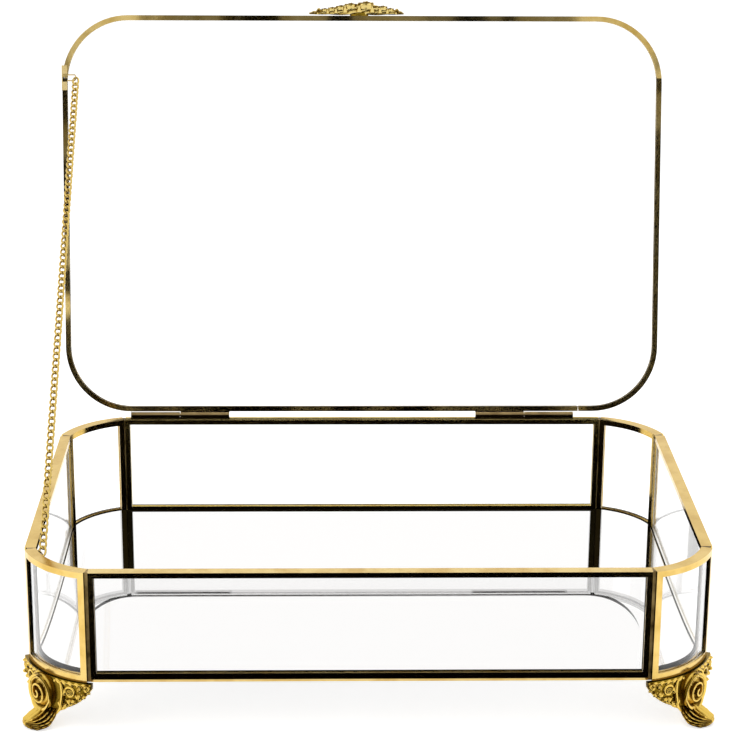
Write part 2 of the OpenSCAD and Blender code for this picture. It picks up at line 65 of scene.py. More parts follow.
def camera_axes(down, turn, lean):
    """Right, up and forward: forward is turned towards +X, tipped down, then rolled."""
    forward = np.array((np.sin(turn) * np.cos(down), np.cos(turn) * np.cos(down), -np.sin(down)))
    level = np.array((np.cos(turn), -np.sin(turn), 0.0))
    upright = np.cross(level, forward)
    right = level * np.cos(lean) + upright * np.sin(lean)
    up = upright * np.cos(lean) - level * np.sin(lean)
    return right, up, forward


right, up, forward = camera_axes(camera_down, camera_turn, camera_lean)
lens = bpy.data.cameras.new("camera")
lens.sensor_width = sensor
lens.lens = focal_pixels / picture_pixels * sensor
lens.clip_start, lens.clip_end = 0.01, 50.0
camera = bpy.data.objects.new("camera", lens)
camera.matrix_world = Matrix.Translation(camera_at) @ Matrix(
    [[right[i], up[i], -forward[i], 0.0] for i in range(3)] + [[0.0, 0.0, 0.0, 1.0]])
bpy.context.scene.collection.objects.link(camera)
bpy.context.scene.camera = camera
bpy.context.scene.view_settings.view_transform = "Standard"


# ---------------------------------------------------------------------------------------
# Studio: a white table and a white room, with soft lamps overhead. Black cards stand
# where the brass looks towards the viewer, so that its front faces turn dark.
# ---------------------------------------------------------------------------------------
def linear(code):
    """Linear colour of an sRGB hex code: x / 12.92 near black, else a 2.4 power."""
    s = np.array([int(code[i:i + 2], 16) for i in (1, 3, 5)]) / 255
    rgb = np.where(s <= 0.04045, s / 12.92, ((s + 0.055) / 1.055) ** 2.4)
    return (*map(float, rgb), 1.0)


def add(tree, kind, settings=(), stops=(), **links):
    """A node with its settings, and inputs set to values or linked to sockets or nodes.

    A node stands for its first output. Stops are the (place, colour) of a colour ramp."""
    made = tree.nodes.new(kind)
    for name, value in dict(settings).items():
        setattr(made, name, value)
    while stops and len(made.color_ramp.elements) < len(stops):
        made.color_ramp.elements.new(0.5)
    for number, (place, colour) in enumerate(stops):
        made.color_ramp.elements[number].position = place
        made.color_ramp.elements[number].color = colour
    for name, value in links.items():
        key = int(name[1:]) if name[1:].isdigit() else name.replace("_", " ")
        socket = made.inputs[key]
        value = value.outputs[0] if isinstance(value, bpy.types.Node) else value
        if isinstance(value, bpy.types.NodeSocket):
            tree.links.new(value, socket)
        else:
            socket.default_value = value
    return made


def new_material(name):
    """A material with an empty tree: (material, tree)."""
    made = bpy.data.materials.new(name)
    made.use_nodes = True
    made.node_tree.nodes.clear()
    return made, made.node_tree


def seen_rays(tree):
    """1 for rays that the camera, a reflection or a glass pane sees by, else 0."""
    path = add(tree, "ShaderNodeLightPath")
    seen = add(tree, "ShaderNodeMath", {"operation": "MAXIMUM"},
               i0=path.outputs["Is Camera Ray"], i1=path.outputs["Is Glossy Ray"])
    return add(tree, "ShaderNodeMath", {"operation": "MAXIMUM"}, i0=seen,
               i1=path.outputs["Is Transmission Ray"])


def mirrored_rays(tree):
    """1 for rays that a reflection sees by, else 0."""
    path = add(tree, "ShaderNodeLightPath")
    return add(tree, "ShaderNodeMath", {"operation": "GREATER_THAN"},
               i0=path.outputs["Glossy Depth"], i1=0.5)


def flat_sheet(name, corners):
    """A mesh of one four-sided face through the given corners."""
    mesh = bpy.data.meshes.new(name)
    mesh.from_pydata([tuple(c) for c in corners], [], [(0, 1, 2, 3)])
    made = bpy.data.objects.new(name, mesh)
    bpy.context.scene.collection.objects.link(made)
    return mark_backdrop(made) or made


# Laminate scatters light evenly. What sees it sees a little glow too, so that it looks white.
table_half = 6.0
white_table, tree = new_material("matt white laminate")
laminate = add(tree, "ShaderNodeBsdfDiffuse", Color=linear("#EDEDED"))
glow = add(tree, "ShaderNodeEmission", Color=(1, 1, 1, 1), Strength=0.62)
glowing = add(tree, "ShaderNodeAddShader", i0=laminate, i1=glow)
seen_table = add(tree, "ShaderNodeMixShader", i0=seen_rays(tree), i1=laminate, i2=glowing)
add(tree, "ShaderNodeOutputMaterial", i0=seen_table)
table = flat_sheet("white_table", [(-table_half, -table_half, 0), (table_half, -table_half, 0),
                                   (table_half, table_half, 0), (-table_half, table_half, 0)])
table.data.materials.append(white_table)


def flag_cloth(name, weave):
    """Black cloth that hides a share of what lies behind it, for reflections only."""
    made, tree = new_material(name)
    flock = add(tree, "ShaderNodeBsdfDiffuse", Color=linear("#050403"))
    hidden = add(tree, "ShaderNodeMath", {"operation": "MULTIPLY"}, i0=mirrored_rays(tree),
                 i1=weave)
    gap = add(tree, "ShaderNodeBsdfTransparent")
    cloth = add(tree, "ShaderNodeMixShader", i0=hidden, i1=gap, i2=flock)
    add(tree, "ShaderNodeOutputMaterial", i0=cloth)
    return made


# Flock swallows almost all light. Voile lets a little over a quarter of it through.
black_card = flag_cloth("black flock card", 1.0)
half_black = flag_cloth("black voile", 0.72)


def black_flag(name, cloth, corners):
    """A sheet of black cloth that only reflections see."""
    card = flat_sheet(name, corners)
    card.data.materials.append(cloth)
    card.visible_camera = card.visible_diffuse = card.visible_shadow = False


# The card on the table lies just over it, and narrows towards the casket.
flag_lift, flag_near, flag_far = 0.0006, -1.6, -0.130
black_flag("card_on_table", black_card,
           [(-0.30, flag_near, flag_lift), (0.37, flag_near, flag_lift),
            (0.145, flag_far, flag_lift), (-0.145, flag_far, flag_lift)])
# Behind the viewer hangs a card, with the voile over it.
screen_y, screen_half, card_top, voile_top = -1.7, 0.5, 0.50, 0.85
for name, cloth, low, high in (("card_behind_viewer", black_card, 0.0, card_top),
                               ("voile_behind_viewer", half_black, card_top, voile_top)):
    black_flag(name, cloth, [(-screen_half, screen_y, low), (screen_half, screen_y, low),
                             (screen_half, screen_y, high), (-screen_half, screen_y, high)])

# The white room lights the casket by about half of what it shows.
world = bpy.data.worlds.new("white room")
bpy.context.scene.world = world
world.use_nodes = True
tree = world.node_tree
tree.nodes.clear()
room_light = add(tree, "ShaderNodeBackground", Color=(1, 1, 1, 1), Strength=0.55)
room_seen = add(tree, "ShaderNodeBackground", Color=(1, 1, 1, 1), Strength=1.08)
room = add(tree, "ShaderNodeMixShader", i0=seen_rays(tree), i1=room_light, i2=room_seen)
add(tree, "ShaderNodeOutputWorld", i0=room)


def soft_lamp(name, place, aim, size, power):
    """A square area lamp that faces its aim. Metal mirrors the room and not the lamp."""
    light = bpy.data.lights.new(name, "AREA")
    light.shape, light.size, light.energy = "SQUARE", size, power
    lamp = bpy.data.objects.new(name, light)
    lamp.location = place
    lamp.rotation_mode = "QUATERNION"
    lamp.rotation_quaternion = (Vector(aim) - Vector(place)).to_track_quat("-Z", "Y")
    bpy.context.scene.collection.objects.link(lamp)
    lamp.visible_glossy = False


soft_lamp("lamp_overhead", place=(0.2, 0.1, 1.5), aim=(0, 0, 0), size=1.2, power=9.0)
soft_lamp("lamp_left", place=(-1.2, -0.5, 0.9), aim=(0, 0, 0.1), size=0.8, power=5.0)


# ---------------------------------------------------------------------------------------
# Wall frames and sills: brass rolled from bright sheet into a slim U, mitred and soldered.
# The rolls leave fine scratches along it, and the lacquer dulls it in soft patches.
# ---------------------------------------------------------------------------------------
def cloudy(tree, per_metre, detail, roughness, stretch=(1, 1, 1)):
    """Uneven light and dark, with so many spots to the metre, stretched by a scale."""
    place = add(tree, "ShaderNodeTexCoord")
    spread = add(tree, "ShaderNodeMapping", Vector=place.outputs["Object"], Scale=stretch)
    return add(tree, "ShaderNodeTexNoise", Vector=spread, Scale=per_metre, Detail=detail,
               Roughness=roughness)


def blackened(tree, shader, where):
    """A shader that turns to dull black, painted shade, as where goes from 0 to 1."""
    black = add(tree, "ShaderNodeBsdfDiffuse", Color=linear("#080605"))
    return add(tree, "ShaderNodeMixShader", i0=where, i1=shader, i2=black)


def low_ledges(tree, top):
    """1 on level faces that look up and lie below a height, else 0."""
    face = add(tree, "ShaderNodeNewGeometry")
    slope = add(tree, "ShaderNodeSeparateXYZ", i0=face.outputs["Normal"])
    level = add(tree, "ShaderNodeMath", {"operation": "GREATER_THAN"}, i0=slope.outputs["Z"],
                i1=0.9)
    place = add(tree, "ShaderNodeTexCoord")
    height = add(tree, "ShaderNodeSeparateXYZ", i0=place.outputs["Object"])
    low = add(tree, "ShaderNodeMath", {"operation": "LESS_THAN"}, i0=height.outputs["Z"], i1=top)
    return add(tree, "ShaderNodeMath", {"operation": "MULTIPLY"}, i0=level, i1=low)


def bent_face(tree, full_x, least_z, over):
    """The face's direction, its Z shifted by a waver, and raised by a lean at the top corners.

    The lean takes only points above least_z. It grows over a length until it is full where
    the distance from the middle is full_x."""
    waver_span, waver_base, full_lean = 0.30, -0.195, 0.135
    face = add(tree, "ShaderNodeNewGeometry")
    place = add(tree, "ShaderNodeTexCoord")
    point = add(tree, "ShaderNodeSeparateXYZ", i0=place.outputs["Object"])
    aside = add(tree, "ShaderNodeMath", {"operation": "ABSOLUTE"}, i0=point.outputs["X"])
    onset = add(tree, "ShaderNodeMapRange", Value=aside, From_Min=full_x - over,
                From_Max=full_x, To_Min=0.0, To_Max=1.0)
    upper = add(tree, "ShaderNodeMath", {"operation": "GREATER_THAN"}, i0=point.outputs["Z"],
                i1=least_z)
    corner = add(tree, "ShaderNodeMath", {"operation": "MULTIPLY"}, i0=onset, i1=upper)
    waver = add(tree, "ShaderNodeMath", {"operation": "MULTIPLY_ADD"},
                i0=cloudy(tree, per_metre=26.0, detail=2.0, roughness=0.5),
                i1=waver_span, i2=waver_base)
    lean = add(tree, "ShaderNodeMath", {"operation": "MULTIPLY_ADD"}, i0=corner, i1=full_lean,
               i2=waver)
    upward = add(tree, "ShaderNodeCombineXYZ", Z=lean)
    leant = add(tree, "ShaderNodeVectorMath", {"operation": "ADD"}, i0=face.outputs["Normal"],
                i1=upward)
    return add(tree, "ShaderNodeVectorMath", {"operation": "NORMALIZE"}, i0=leant)


def brushed_brass(name, bright, dull, grain_axis, rough=0.16, relief=0.06, ledges=None,
                  tinned=False, shade=0.985, veil=0.85, panes=1.5, bent=None):
    """Brass whose fine lines run along one axis, from dull to bright in soft patches.

    Level faces below the height of the ledges are painted black as shade, or tinned bright. In a
    reflection the brass is painted darker by shade, and fainter by veil where it passes more
    glass faces than panes says. Bent holds what bent_face needs."""
    line_stretch, line_depth = 0.03, 0.00002
    made, tree = new_material(name)
    stretch = [1.0, 1.0, 1.0]
    stretch[grain_axis] = line_stretch
    # Roll lines lie about 0.3 mm apart, coarser than real ones so that they show.
    lines = cloudy(tree, per_metre=3300.0, detail=3.0, roughness=0.6, stretch=stretch)
    # The lacquer's soft patches are about a centimetre across.
    patches = cloudy(tree, per_metre=90.0, detail=4.0, roughness=0.6)
    colour = add(tree, "ShaderNodeValToRGB", i0=patches,
                 stops=((0.34, linear(dull)), (0.60, linear(bright))))
    gloss = add(tree, "ShaderNodeMapRange", Value=lines, From_Min=0.3, From_Max=0.7,
                To_Min=rough - 0.04, To_Max=rough + 0.06)
    bump = add(tree, "ShaderNodeBump", Strength=relief, Distance=line_depth, Height=lines)
    if bent is not None:
        tree.links.new(bent_face(tree, *bent).outputs[0], bump.inputs["Normal"])
    skin = add(tree, "ShaderNodeBsdfPrincipled", Base_Color=colour, Metallic=1.0,
               Roughness=gloss, Normal=bump)
    if tinned:
        tin = add(tree, "ShaderNodeBsdfPrincipled", Base_Color=linear("#F4F2EC"), Metallic=1.0,
                  Roughness=0.2)
        skin = add(tree, "ShaderNodeMixShader", i0=low_ledges(tree, ledges), i1=skin, i2=tin)
    # Painted reflection: seen in a reflection, the brass turns darker by shade.
    mirrored = mirrored_rays(tree)
    dark = add(tree, "ShaderNodeMath", {"operation": "MULTIPLY"}, i0=mirrored, i1=shade)
    # Low ledges are painted black, as painted shade.
    if ledges is not None and not tinned:
        dark = add(tree, "ShaderNodeMath", {"operation": "MAXIMUM"}, i0=low_ledges(tree, ledges),
                   i1=dark)
    path = add(tree, "ShaderNodeLightPath")
    beyond = add(tree, "ShaderNodeMath", {"operation": "GREATER_THAN"},
                 i0=path.outputs["Transmission Depth"], i1=panes)
    veiled = add(tree, "ShaderNodeMath", {"operation": "MULTIPLY"}, i0=mirrored, i1=veil)
    faint = add(tree, "ShaderNodeMath", {"operation": "MULTIPLY"}, i0=veiled, i1=beyond)
    clear = add(tree, "ShaderNodeBsdfTransparent")
    surface = add(tree, "ShaderNodeMixShader", i0=faint, i1=blackened(tree, skin, dark), i2=clear)
    add(tree, "ShaderNodeOutputMaterial", i0=surface)
    return made


def dress(material, *names):
    """Gives CAD nodes a material in place of their plain one."""
    for name in names:
        for place in frame["nodes"][name].material_slots:
            place.link = "OBJECT"
            place.material = material


# The ledges under most panes are painted black, as painted shade. Those of the side walls are
# tinned, and those of the front corners are bare.
ledge_top = 0.030
# Brass along the box's width is pale gold, with fine level scratches.
width_brass = brushed_brass("rolled brass, lengthways", "#E4C882", "#D0AC60", grain_axis=0,
                            rough=0.11, relief=0.02, ledges=ledge_top)
dress(width_brass, "front_frame", "front_sill", "rear_sill")
# The rear frame's brass is painted brighter and yellower, as painted light.
rear_brass = brushed_brass("rolled brass, lengthways, painted brighter", "#FFE488", "#F2CE6C",
                           grain_axis=0, rough=0.11, relief=0.02, ledges=ledge_top)
dress(rear_brass, "rear_frame")
# Brass along the depth is a little deeper in colour, and its scratches show more.
depth_brass = brushed_brass("rolled brass, depthways", "#DDBC6A", "#CCA855", grain_axis=1,
                            rough=0.13, relief=0.03, ledges=ledge_top)
dress(depth_brass, "left_sill", "right_sill", "rear_left_frame", "rear_right_frame")
# The same brass, with half the painted shade in reflections, stays lighter in the mirror.
side_brass = brushed_brass("rolled brass, depthways, half shaded in reflections", "#DDBC6A", "#CCA855",
                           grain_axis=1, rough=0.13, relief=0.03, ledges=ledge_top,
                           tinned=True, shade=0.5)
dress(side_brass, "left_frame", "right_frame")
# Bending has roughened the front corners, so that their lights are softer.
corner_brass = brushed_brass("rolled brass, bent", "#E0C074", "#CDAA5A", grain_axis=1)
dress(corner_brass, "front_left_frame", "front_right_frame")


# ---------------------------------------------------------------------------------------
# Seams: solder run down each upright joint between a flat frame and a corner's, and gold
# washed. It is browner, duller and rougher than the brass beside it, and its dark brown is
# partly painted shade from the groove it lies in.
# ---------------------------------------------------------------------------------------
# Its darker brown is partly painted shade.
seam_metal = brushed_brass("lead-free solder under gold wash", "#AE9460", "#4A3A1C",
                           grain_axis=2, rough=0.45)
dress(seam_metal, *(node for node in frame["nodes"] if node.startswith("seam_")))


# ---------------------------------------------------------------------------------------
# Lid channel and sleeve: lacquered brass channel bent round the lid's glass in two lengths,
# with a sleeve of sheet brass over their joint at the left.
# ---------------------------------------------------------------------------------------
# The channel was bent round its corners over this length each way, and its face leans there.
lid_bend = 0.030
lid_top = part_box("lid_channel_front")[1][2]
lid_end = max(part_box("lid_channel_front")[1][0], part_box("lid_channel_rear")[1][0])
# Its lacquer is smooth and a little brown. Reflections look through the channel, so that
# the mirror shows the white room in its place.
lid_brass = brushed_brass("rolled brass, lacquered", "#CDB474", "#B4964E", grain_axis=2,
                          rough=0.10, relief=0.0, veil=1.0, panes=-0.5,
                          bent=(lid_end - lid_bend, lid_top - lid_bend, lid_bend))
dress(lid_brass, "lid_channel_front", "lid_channel_rear")
# A fine abrasive has made the sleeve matt, so it stays pale where the channel is dark.
sleeve_brass = brushed_brass("sheet brass, rubbed matt", "#F6DFA2", "#E6C67C", grain_axis=1,
                             rough=0.42)
dress(sleeve_brass, "lid_sleeve")


# ---------------------------------------------------------------------------------------
# Hinges and staples: two hinges of drawn brass tube on a pin, soldered along the rear, and
# two brass wire staples, soldered to the lid and to a front corner, that hold the chain.
# ---------------------------------------------------------------------------------------
# The hinges are painted a darker brown, as painted shade, and the staples are still bright.
hinge_brass = brushed_brass("drawn brass, painted dark as shade", "#8E7A54", "#6E5A38",
                            grain_axis=0)
dress(hinge_brass, *(side + piece for side in ("left_hinge_", "right_hinge_")
                     for piece in ("box_tube", "lid_tube", "pin")))
staple_brass = brushed_brass("drawn brass", "#D6BC7C", "#B4924C", grain_axis=0)
dress(staple_brass, "box_staple", "lid_staple")


# ---------------------------------------------------------------------------------------
# Panes: float glass, cut flat for the walls and the lid and bent for the corners. It is clear
# and almost without colour, and light passes it without a dark shadow.
# ---------------------------------------------------------------------------------------
clear_glass, tree = new_material("clear float glass, polished")
body = add(tree, "ShaderNodeBsdfPrincipled", Base_Color=linear("#FFFFFF"), Roughness=0.0,
           IOR=1.46, Transmission_Weight=1.0)
open_way = add(tree, "ShaderNodeBsdfTransparent", Color=linear("#FDFDFC"))
path = add(tree, "ShaderNodeLightPath")
light_only = add(tree, "ShaderNodeMath", {"operation": "MAXIMUM"},
                 i0=path.outputs["Is Shadow Ray"], i1=path.outputs["Is Diffuse Ray"])
pane = add(tree, "ShaderNodeMixShader", i0=light_only, i1=body, i2=open_way)
add(tree, "ShaderNodeOutputMaterial", i0=pane)
dress(clear_glass, *(node for node in frame["nodes"] if node.endswith("_pane")))


# ---------------------------------------------------------------------------------------
# Mirror floor: 2 mm silvered glass, loose on the sills' lips. In the brass beside it, its
# reflection is painted dark, and a glass pane's sharp reflection shows it bright.
# ---------------------------------------------------------------------------------------
silver, tree = new_material("silvered mirror glass")
# Seen in brass, the mirror is painted black, as a painted reflection.
path = add(tree, "ShaderNodeLightPath")
soft = add(tree, "ShaderNodeMath", {"operation": "SUBTRACT"}, i0=1.0,
           i1=path.outputs["Is Singular Ray"])
in_brass = add(tree, "ShaderNodeMath", {"operation": "MULTIPLY"}, i0=mirrored_rays(tree), i1=soft)
skin = add(tree, "ShaderNodeBsdfPrincipled", Base_Color=linear("#FCFBFA"), Metallic=1.0,
           Roughness=0.0)
add(tree, "ShaderNodeOutputMaterial", i0=blackened(tree, skin, in_brass))
dress(silver, "mirror_floor")


# ---------------------------------------------------------------------------------------
# Corner fillets: a round run of solder beside the mirror's edge at each front corner,
# which the mirror doubles. Unpolished and painted near black as painted shade, it sends back
# hardly any light.
# ---------------------------------------------------------------------------------------
def tube(rings, endless=False):
    """A skin over rings (n, m, 3): quads from each ring to the next, and flat ends."""
    n, m = rings.shape[:2]
    at = np.arange(n * m).reshape(n, m)
    near, far = (at, np.roll(at, -1, 0)) if endless else (at[:-1], at[1:])
    quads = np.stack((near, np.roll(near, -1, 1), np.roll(far, -1, 1), far), -1)
    ends = [] if endless else [at[0, ::-1].tolist(), at[-1].tolist()]
    return rings.reshape(-1, 3), quads.reshape(-1, 4).tolist() + ends


def casting(name, parts, place, materials, ground=0):
    """One object from closed parts, whose points the place function takes to the world.

    The first parts, as many as ground says, take the second material."""
    points, faces, choice, first = [], [], [], 0
    for count, (local, part_faces) in enumerate(parts):
        points.append(place(local))
        faces += [[i + first for i in face] for face in part_faces]
        choice += [int(count < ground)] * len(part_faces)
        first += len(local)
    mesh = bpy.data.meshes.new(name)
    mesh.from_pydata(np.concatenate(points).tolist(), [], faces)
    work = bmesh.new()
    work.from_mesh(mesh)
    bmesh.ops.recalc_face_normals(work, faces=work.faces)
    work.to_mesh(mesh)
    work.free()
    mesh.shade_smooth()
    mesh.set_sharp_from_angle(angle=np.radians(50))
    for material in materials:
        mesh.materials.append(material)
    mesh.polygons.foreach_set("material_index", choice)
    made = bpy.data.objects.new(name, mesh)
    bpy.context.scene.collection.objects.link(made)
    return made


# The box and its bowed corners, from the frame: the bow's axis lies inside each corner.
west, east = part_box("left_frame")[0][0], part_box("right_frame")[1][0]
south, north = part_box("front_frame")[0][1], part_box("rear_frame")[1][1]
box_middle = np.array(((west + east) / 2, (south + north) / 2))
wall, seam, sweep = 0.005, 0.0005, np.radians(56.0)
bow_start = np.array((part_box("front_frame")[1][0] - box_middle[0] + seam,
                      (north - south) / 2 - wall))
bow_end = np.array(((east - west) / 2 - wall,
                    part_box("right_frame")[1][1] - box_middle[1] + seam))
bow_radius = np.linalg.norm(bow_end - bow_start) / 2 / np.sin(sweep / 2)
bow_heading = np.arctan2(*(bow_end - bow_start)[::-1]) + np.pi / 2
bow_axis = (bow_start + bow_end) / 2 - bow_radius * np.cos(sweep / 2) * np.array(
    (np.cos(bow_heading), np.sin(bow_heading)))

fillet_deep, fillet_tall = 0.0007, 0.0008
share, angle = np.meshgrid(np.linspace(0, 1, 49),
                           np.linspace(0, 2 * np.pi, 10, endpoint=False), indexing="ij")
fillet_turn = bow_heading + sweep / 2 * (2 * share - 1)
fillet_reach = bow_radius - fillet_deep + fillet_deep * np.cos(angle)
fillet_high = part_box("mirror_floor")[1][2] + fillet_tall + fillet_tall * np.sin(angle)
# The fillet's near black is painted shade.
fillet_black, tree = new_material("solder, unpolished, painted black as shade")
skin = add(tree, "ShaderNodeBsdfDiffuse", Color=linear("#0A0704"))
add(tree, "ShaderNodeOutputMaterial", i0=skin)
for side_x, side in ((-1, "left"), (1, "right")):
    ring = np.stack((box_middle[0] + side_x * (bow_axis[0] + fillet_reach * np.cos(fillet_turn)),
                     box_middle[1] - bow_axis[1] - fillet_reach * np.sin(fillet_turn),
                     fillet_high), -1)
    fillet = casting("corner_fillet_" + side, [tube(ring)], lambda points: points,
                     [fillet_black])
    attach(fillet, "base")


# ---------------------------------------------------------------------------------------
# Corner feet: brass castings with a gold wash, soldered under the bowed frames. Each has a
# rose on an apron of scrolls and stems, over a leg that ends in a leaf turned out as a toe.
# ---------------------------------------------------------------------------------------
def cast_metal(name, bright, hollow, reach):
    """Cast metal, bright and smooth where it stands proud, and in a hollow rough and painted dark
    as shade.

    What lies within reach decides what a hollow is. The mould's sand leaves a grain of about
    a millimetre."""
    grain_share, grain_depth = 0.24, 0.00012
    made, tree = new_material(name)
    open_sky = add(tree, "ShaderNodeAmbientOcclusion", {"samples": 8}, Distance=reach)
    grain = cloudy(tree, per_metre=900.0, detail=3.0, roughness=0.6)
    proud = add(tree, "ShaderNodeMath", {"operation": "MULTIPLY_ADD"}, i0=grain,
                i1=grain_share, i2=open_sky.outputs["AO"])
    # Painted shade: the colour darkens where ambient occlusion finds the metal hemmed in.
    colour = add(tree, "ShaderNodeValToRGB", i0=proud,
                 stops=((0.18, linear(hollow)), (0.40, linear("#7A5A08")),
                        (0.66, linear("#9C7C20")), (0.90, linear(bright))))
    gloss = add(tree, "ShaderNodeMapRange", Value=proud, From_Min=0.3, From_Max=0.9,
                To_Min=0.55, To_Max=0.24)
    bump = add(tree, "ShaderNodeBump", Strength=0.35, Distance=grain_depth, Height=grain)
    skin = add(tree, "ShaderNodeBsdfPrincipled", Base_Color=colour, Metallic=1.0,
               Roughness=gloss, Normal=bump)
    add(tree, "ShaderNodeOutputMaterial", i0=skin)
    return made


def shell(grid, thickness):
    """A curved sheet (n, m, 3) with a second skin: the grid less thickness times its normals."""
    normal = np.cross(np.gradient(grid, axis=0), np.gradient(grid, axis=1))
    normal /= np.linalg.norm(normal, axis=-1, keepdims=True) + 1e-12
    back = grid - normal * thickness
    rings = np.concatenate((grid, back[:, ::-1]), axis=1)
    return tube(rings)


def through(points, count):
    """A smooth curve through points: cubics whose slope is half the step over two points."""
    p = np.asarray(points, float)
    slope = np.gradient(p, axis=0)
    t = np.linspace(0, len(p) - 1, count)
    i = np.minimum(t.astype(int), len(p) - 2)
    f = (t - i)[:, None]
    return ((2 * f ** 3 - 3 * f ** 2 + 1) * p[i] + (f ** 3 - 2 * f ** 2 + f) * slope[i]
            + (3 * f ** 2 - 2 * f ** 3) * p[i + 1] + (f ** 3 - f ** 2) * slope[i + 1])


def bead(route, radius, flat=0.8, sides=10, flutes=0, side=None, twist=0.0):
    """Rounds a route (n, 3): rings square to it, wide by radius, high by flat times that.

    Flutes shrink the ring at angle a by flute_depth * (1 - cos(flutes * a - drift)), where
    the drift grows to twist along the route."""
    flute_depth = 0.2
    route = np.asarray(route, float)
    radius = np.interp(np.linspace(0, 1, len(route)), np.linspace(0, 1, len(radius)), radius)
    along = np.gradient(route, axis=0)
    along /= np.linalg.norm(along, axis=1, keepdims=True) + 1e-12
    if side is None:
        side = np.cross(along, (0.0, 0.0, 1.0))
        side /= np.linalg.norm(side, axis=1, keepdims=True) + 1e-12
    side = np.broadcast_to(np.asarray(side, float), route.shape)
    lift = np.cross(side, along)
    turn = np.linspace(0, 2 * np.pi, sides, endpoint=False)[None]
    drift = twist * np.linspace(0, 1, len(route))[:, None]
    wave = 1 - flute_depth * (1 - np.cos(flutes * turn - drift))
    across = (np.cos(turn) * wave)[..., None] * side[:, None]
    upward = (flat * np.sin(turn) * wave)[..., None] * lift[:, None]
    return tube(route[:, None] + radius[:, None, None] * (across + upward))


def pearl(place, rise, size, side):
    """A dome over a place: at share t of its rise the radius is size * (1 - 0.97 t) ** 0.5."""
    route = np.linspace(place, (*place[:2], place[2] + rise), 9)
    return bead(route, size * np.sqrt(np.linspace(1, 0.03, 9)), flat=1.0, side=side)


def scroll(centre, first, last, turns, start, low, high):
    """A spiral route: radius = first * (last / first) ** t, as it rises from low to high."""
    t = np.linspace(0, 1, 64)
    turn = np.radians(start) + 2 * np.pi * turns * t
    r = first * (last / first) ** t
    return np.stack((centre[0] + r * np.cos(turn), centre[1] + r * np.sin(turn),
                     low + (high - low) * t), -1)


def petal(aim, spread, inner, outer, low, high, thick):
    """Part of a cup: its height grows by sin(pi s / 2), its radius by 0.35 s + 0.65 s ** 3.

    Its angle spans spread, one side lies further out than the other, and both sides droop."""
    s, t = np.meshgrid(np.linspace(0, 1, 10), np.linspace(-1, 1, 19), indexing="ij")
    turn = np.radians(aim + spread / 2 * t)
    radius = inner + (outer - inner) * (0.35 * s + 0.65 * s ** 3) * (1 + 0.13 * t - 0.08 * t ** 4)
    rise = low + (high - low) * np.sin(np.pi / 2 * s) * (1 - 0.22 * t ** 4)
    return shell(np.stack((radius * np.cos(turn), radius * np.sin(turn), rise), -1), thick)


def shifted(parts, centre, mirror=False):
    """Parts moved to a centre, and turned left to right where mirror is set."""
    flip = np.array((-1.0 if mirror else 1.0, 1.0, 1.0))
    return [(points * flip + np.asarray(centre, float) * flip, faces) for points, faces in parts]


def rose(size, height, long=1.0):
    """Outer petals round a wall that winds in by about two turns and flares, over a core.

    The whole is stretched by long, and its three outer petals hang a little low."""
    made = shifted([petal(120 * k + 200, 158, 0.72 * size, size, 0.0, 0.84 * height, 0.17 * size)
                    for k in range(3)], (0, 0.10 * size, 0))
    s, t = np.meshgrid(np.linspace(0, 1, 7), np.linspace(0, 1, 110), indexing="ij")
    turn = -2 * np.pi * 2.05 * t - 0.6
    radius = size * (0.09 + 0.66 * (1 - t)) * (0.84 + 0.18 * s ** 2)
    rise = height * (0.25 + (0.56 + 0.24 * t) * s ** 0.8)
    made.append(shell(np.stack((radius * np.cos(turn), radius * np.sin(turn), rise), -1)[:, ::-1],
                      0.10 * size))
    core = np.linspace((0, 0, 0), (0, 0, 0.62 * height), 9)
    made.append(bead(core, size * np.array((0.93, 0.93, 0.92, 0.88, 0.70)), flat=1.0, sides=32,
                     side=(1, 0, 0)))
    return [(points * (1.0, long, 1.0), faces) for points, faces in made]


# The apron hugs the bowed frame, with a film of solder between them.
film = 0.0008
apron_radius = bow_radius + wall + film
foot_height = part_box("front_sill")[0][2]

# Foot sizes in millimetres: around the apron from its middle, below the frame, outwards.
apron_deep, apron_shallow, apron_reach = 15.6, 2.4, 23.0
rose_size, rose_rise, rose_below = 6.9, 5.8, 8.4


def foot_place(side_x, side_y):
    """A function from foot sizes to world points at one corner: a turn round the bow's axis."""
    def place(local):
        around, below, outward = np.moveaxis(local / 1000, -1, 0)
        turn = bow_heading + around / apron_radius
        reach = apron_radius + outward
        height = np.maximum(foot_height - below, 0.0)
        return np.stack((box_middle[0] + side_x * (bow_axis[0] + reach * np.cos(turn)),
                         box_middle[1] + side_y * (bow_axis[1] + reach * np.sin(turn)),
                         height), -1)
    return place


def apron_edge(around):
    """Depth of the apron's lower edge: an arc from its middle up to its wing tips."""
    half, fall = apron_reach, apron_deep - apron_shallow
    arc = (half * half + fall * fall) / 2 / fall
    return apron_deep - arc + np.sqrt(arc ** 2 - np.minimum(around ** 2, half ** 2))


def apron():
    """The plate behind the relief: it fills the ground from the frame to near the edge."""
    face, thickness, margin = -1.3, 1.9, 0.4
    s, t = np.meshgrid(np.linspace(-1, 1, 61), np.linspace(0, 1, 9), indexing="ij")
    around = s * apron_reach
    below = t * (apron_edge(around) - margin)
    return shell(np.stack((around, below, face + 0 * t), -1), -thickness)


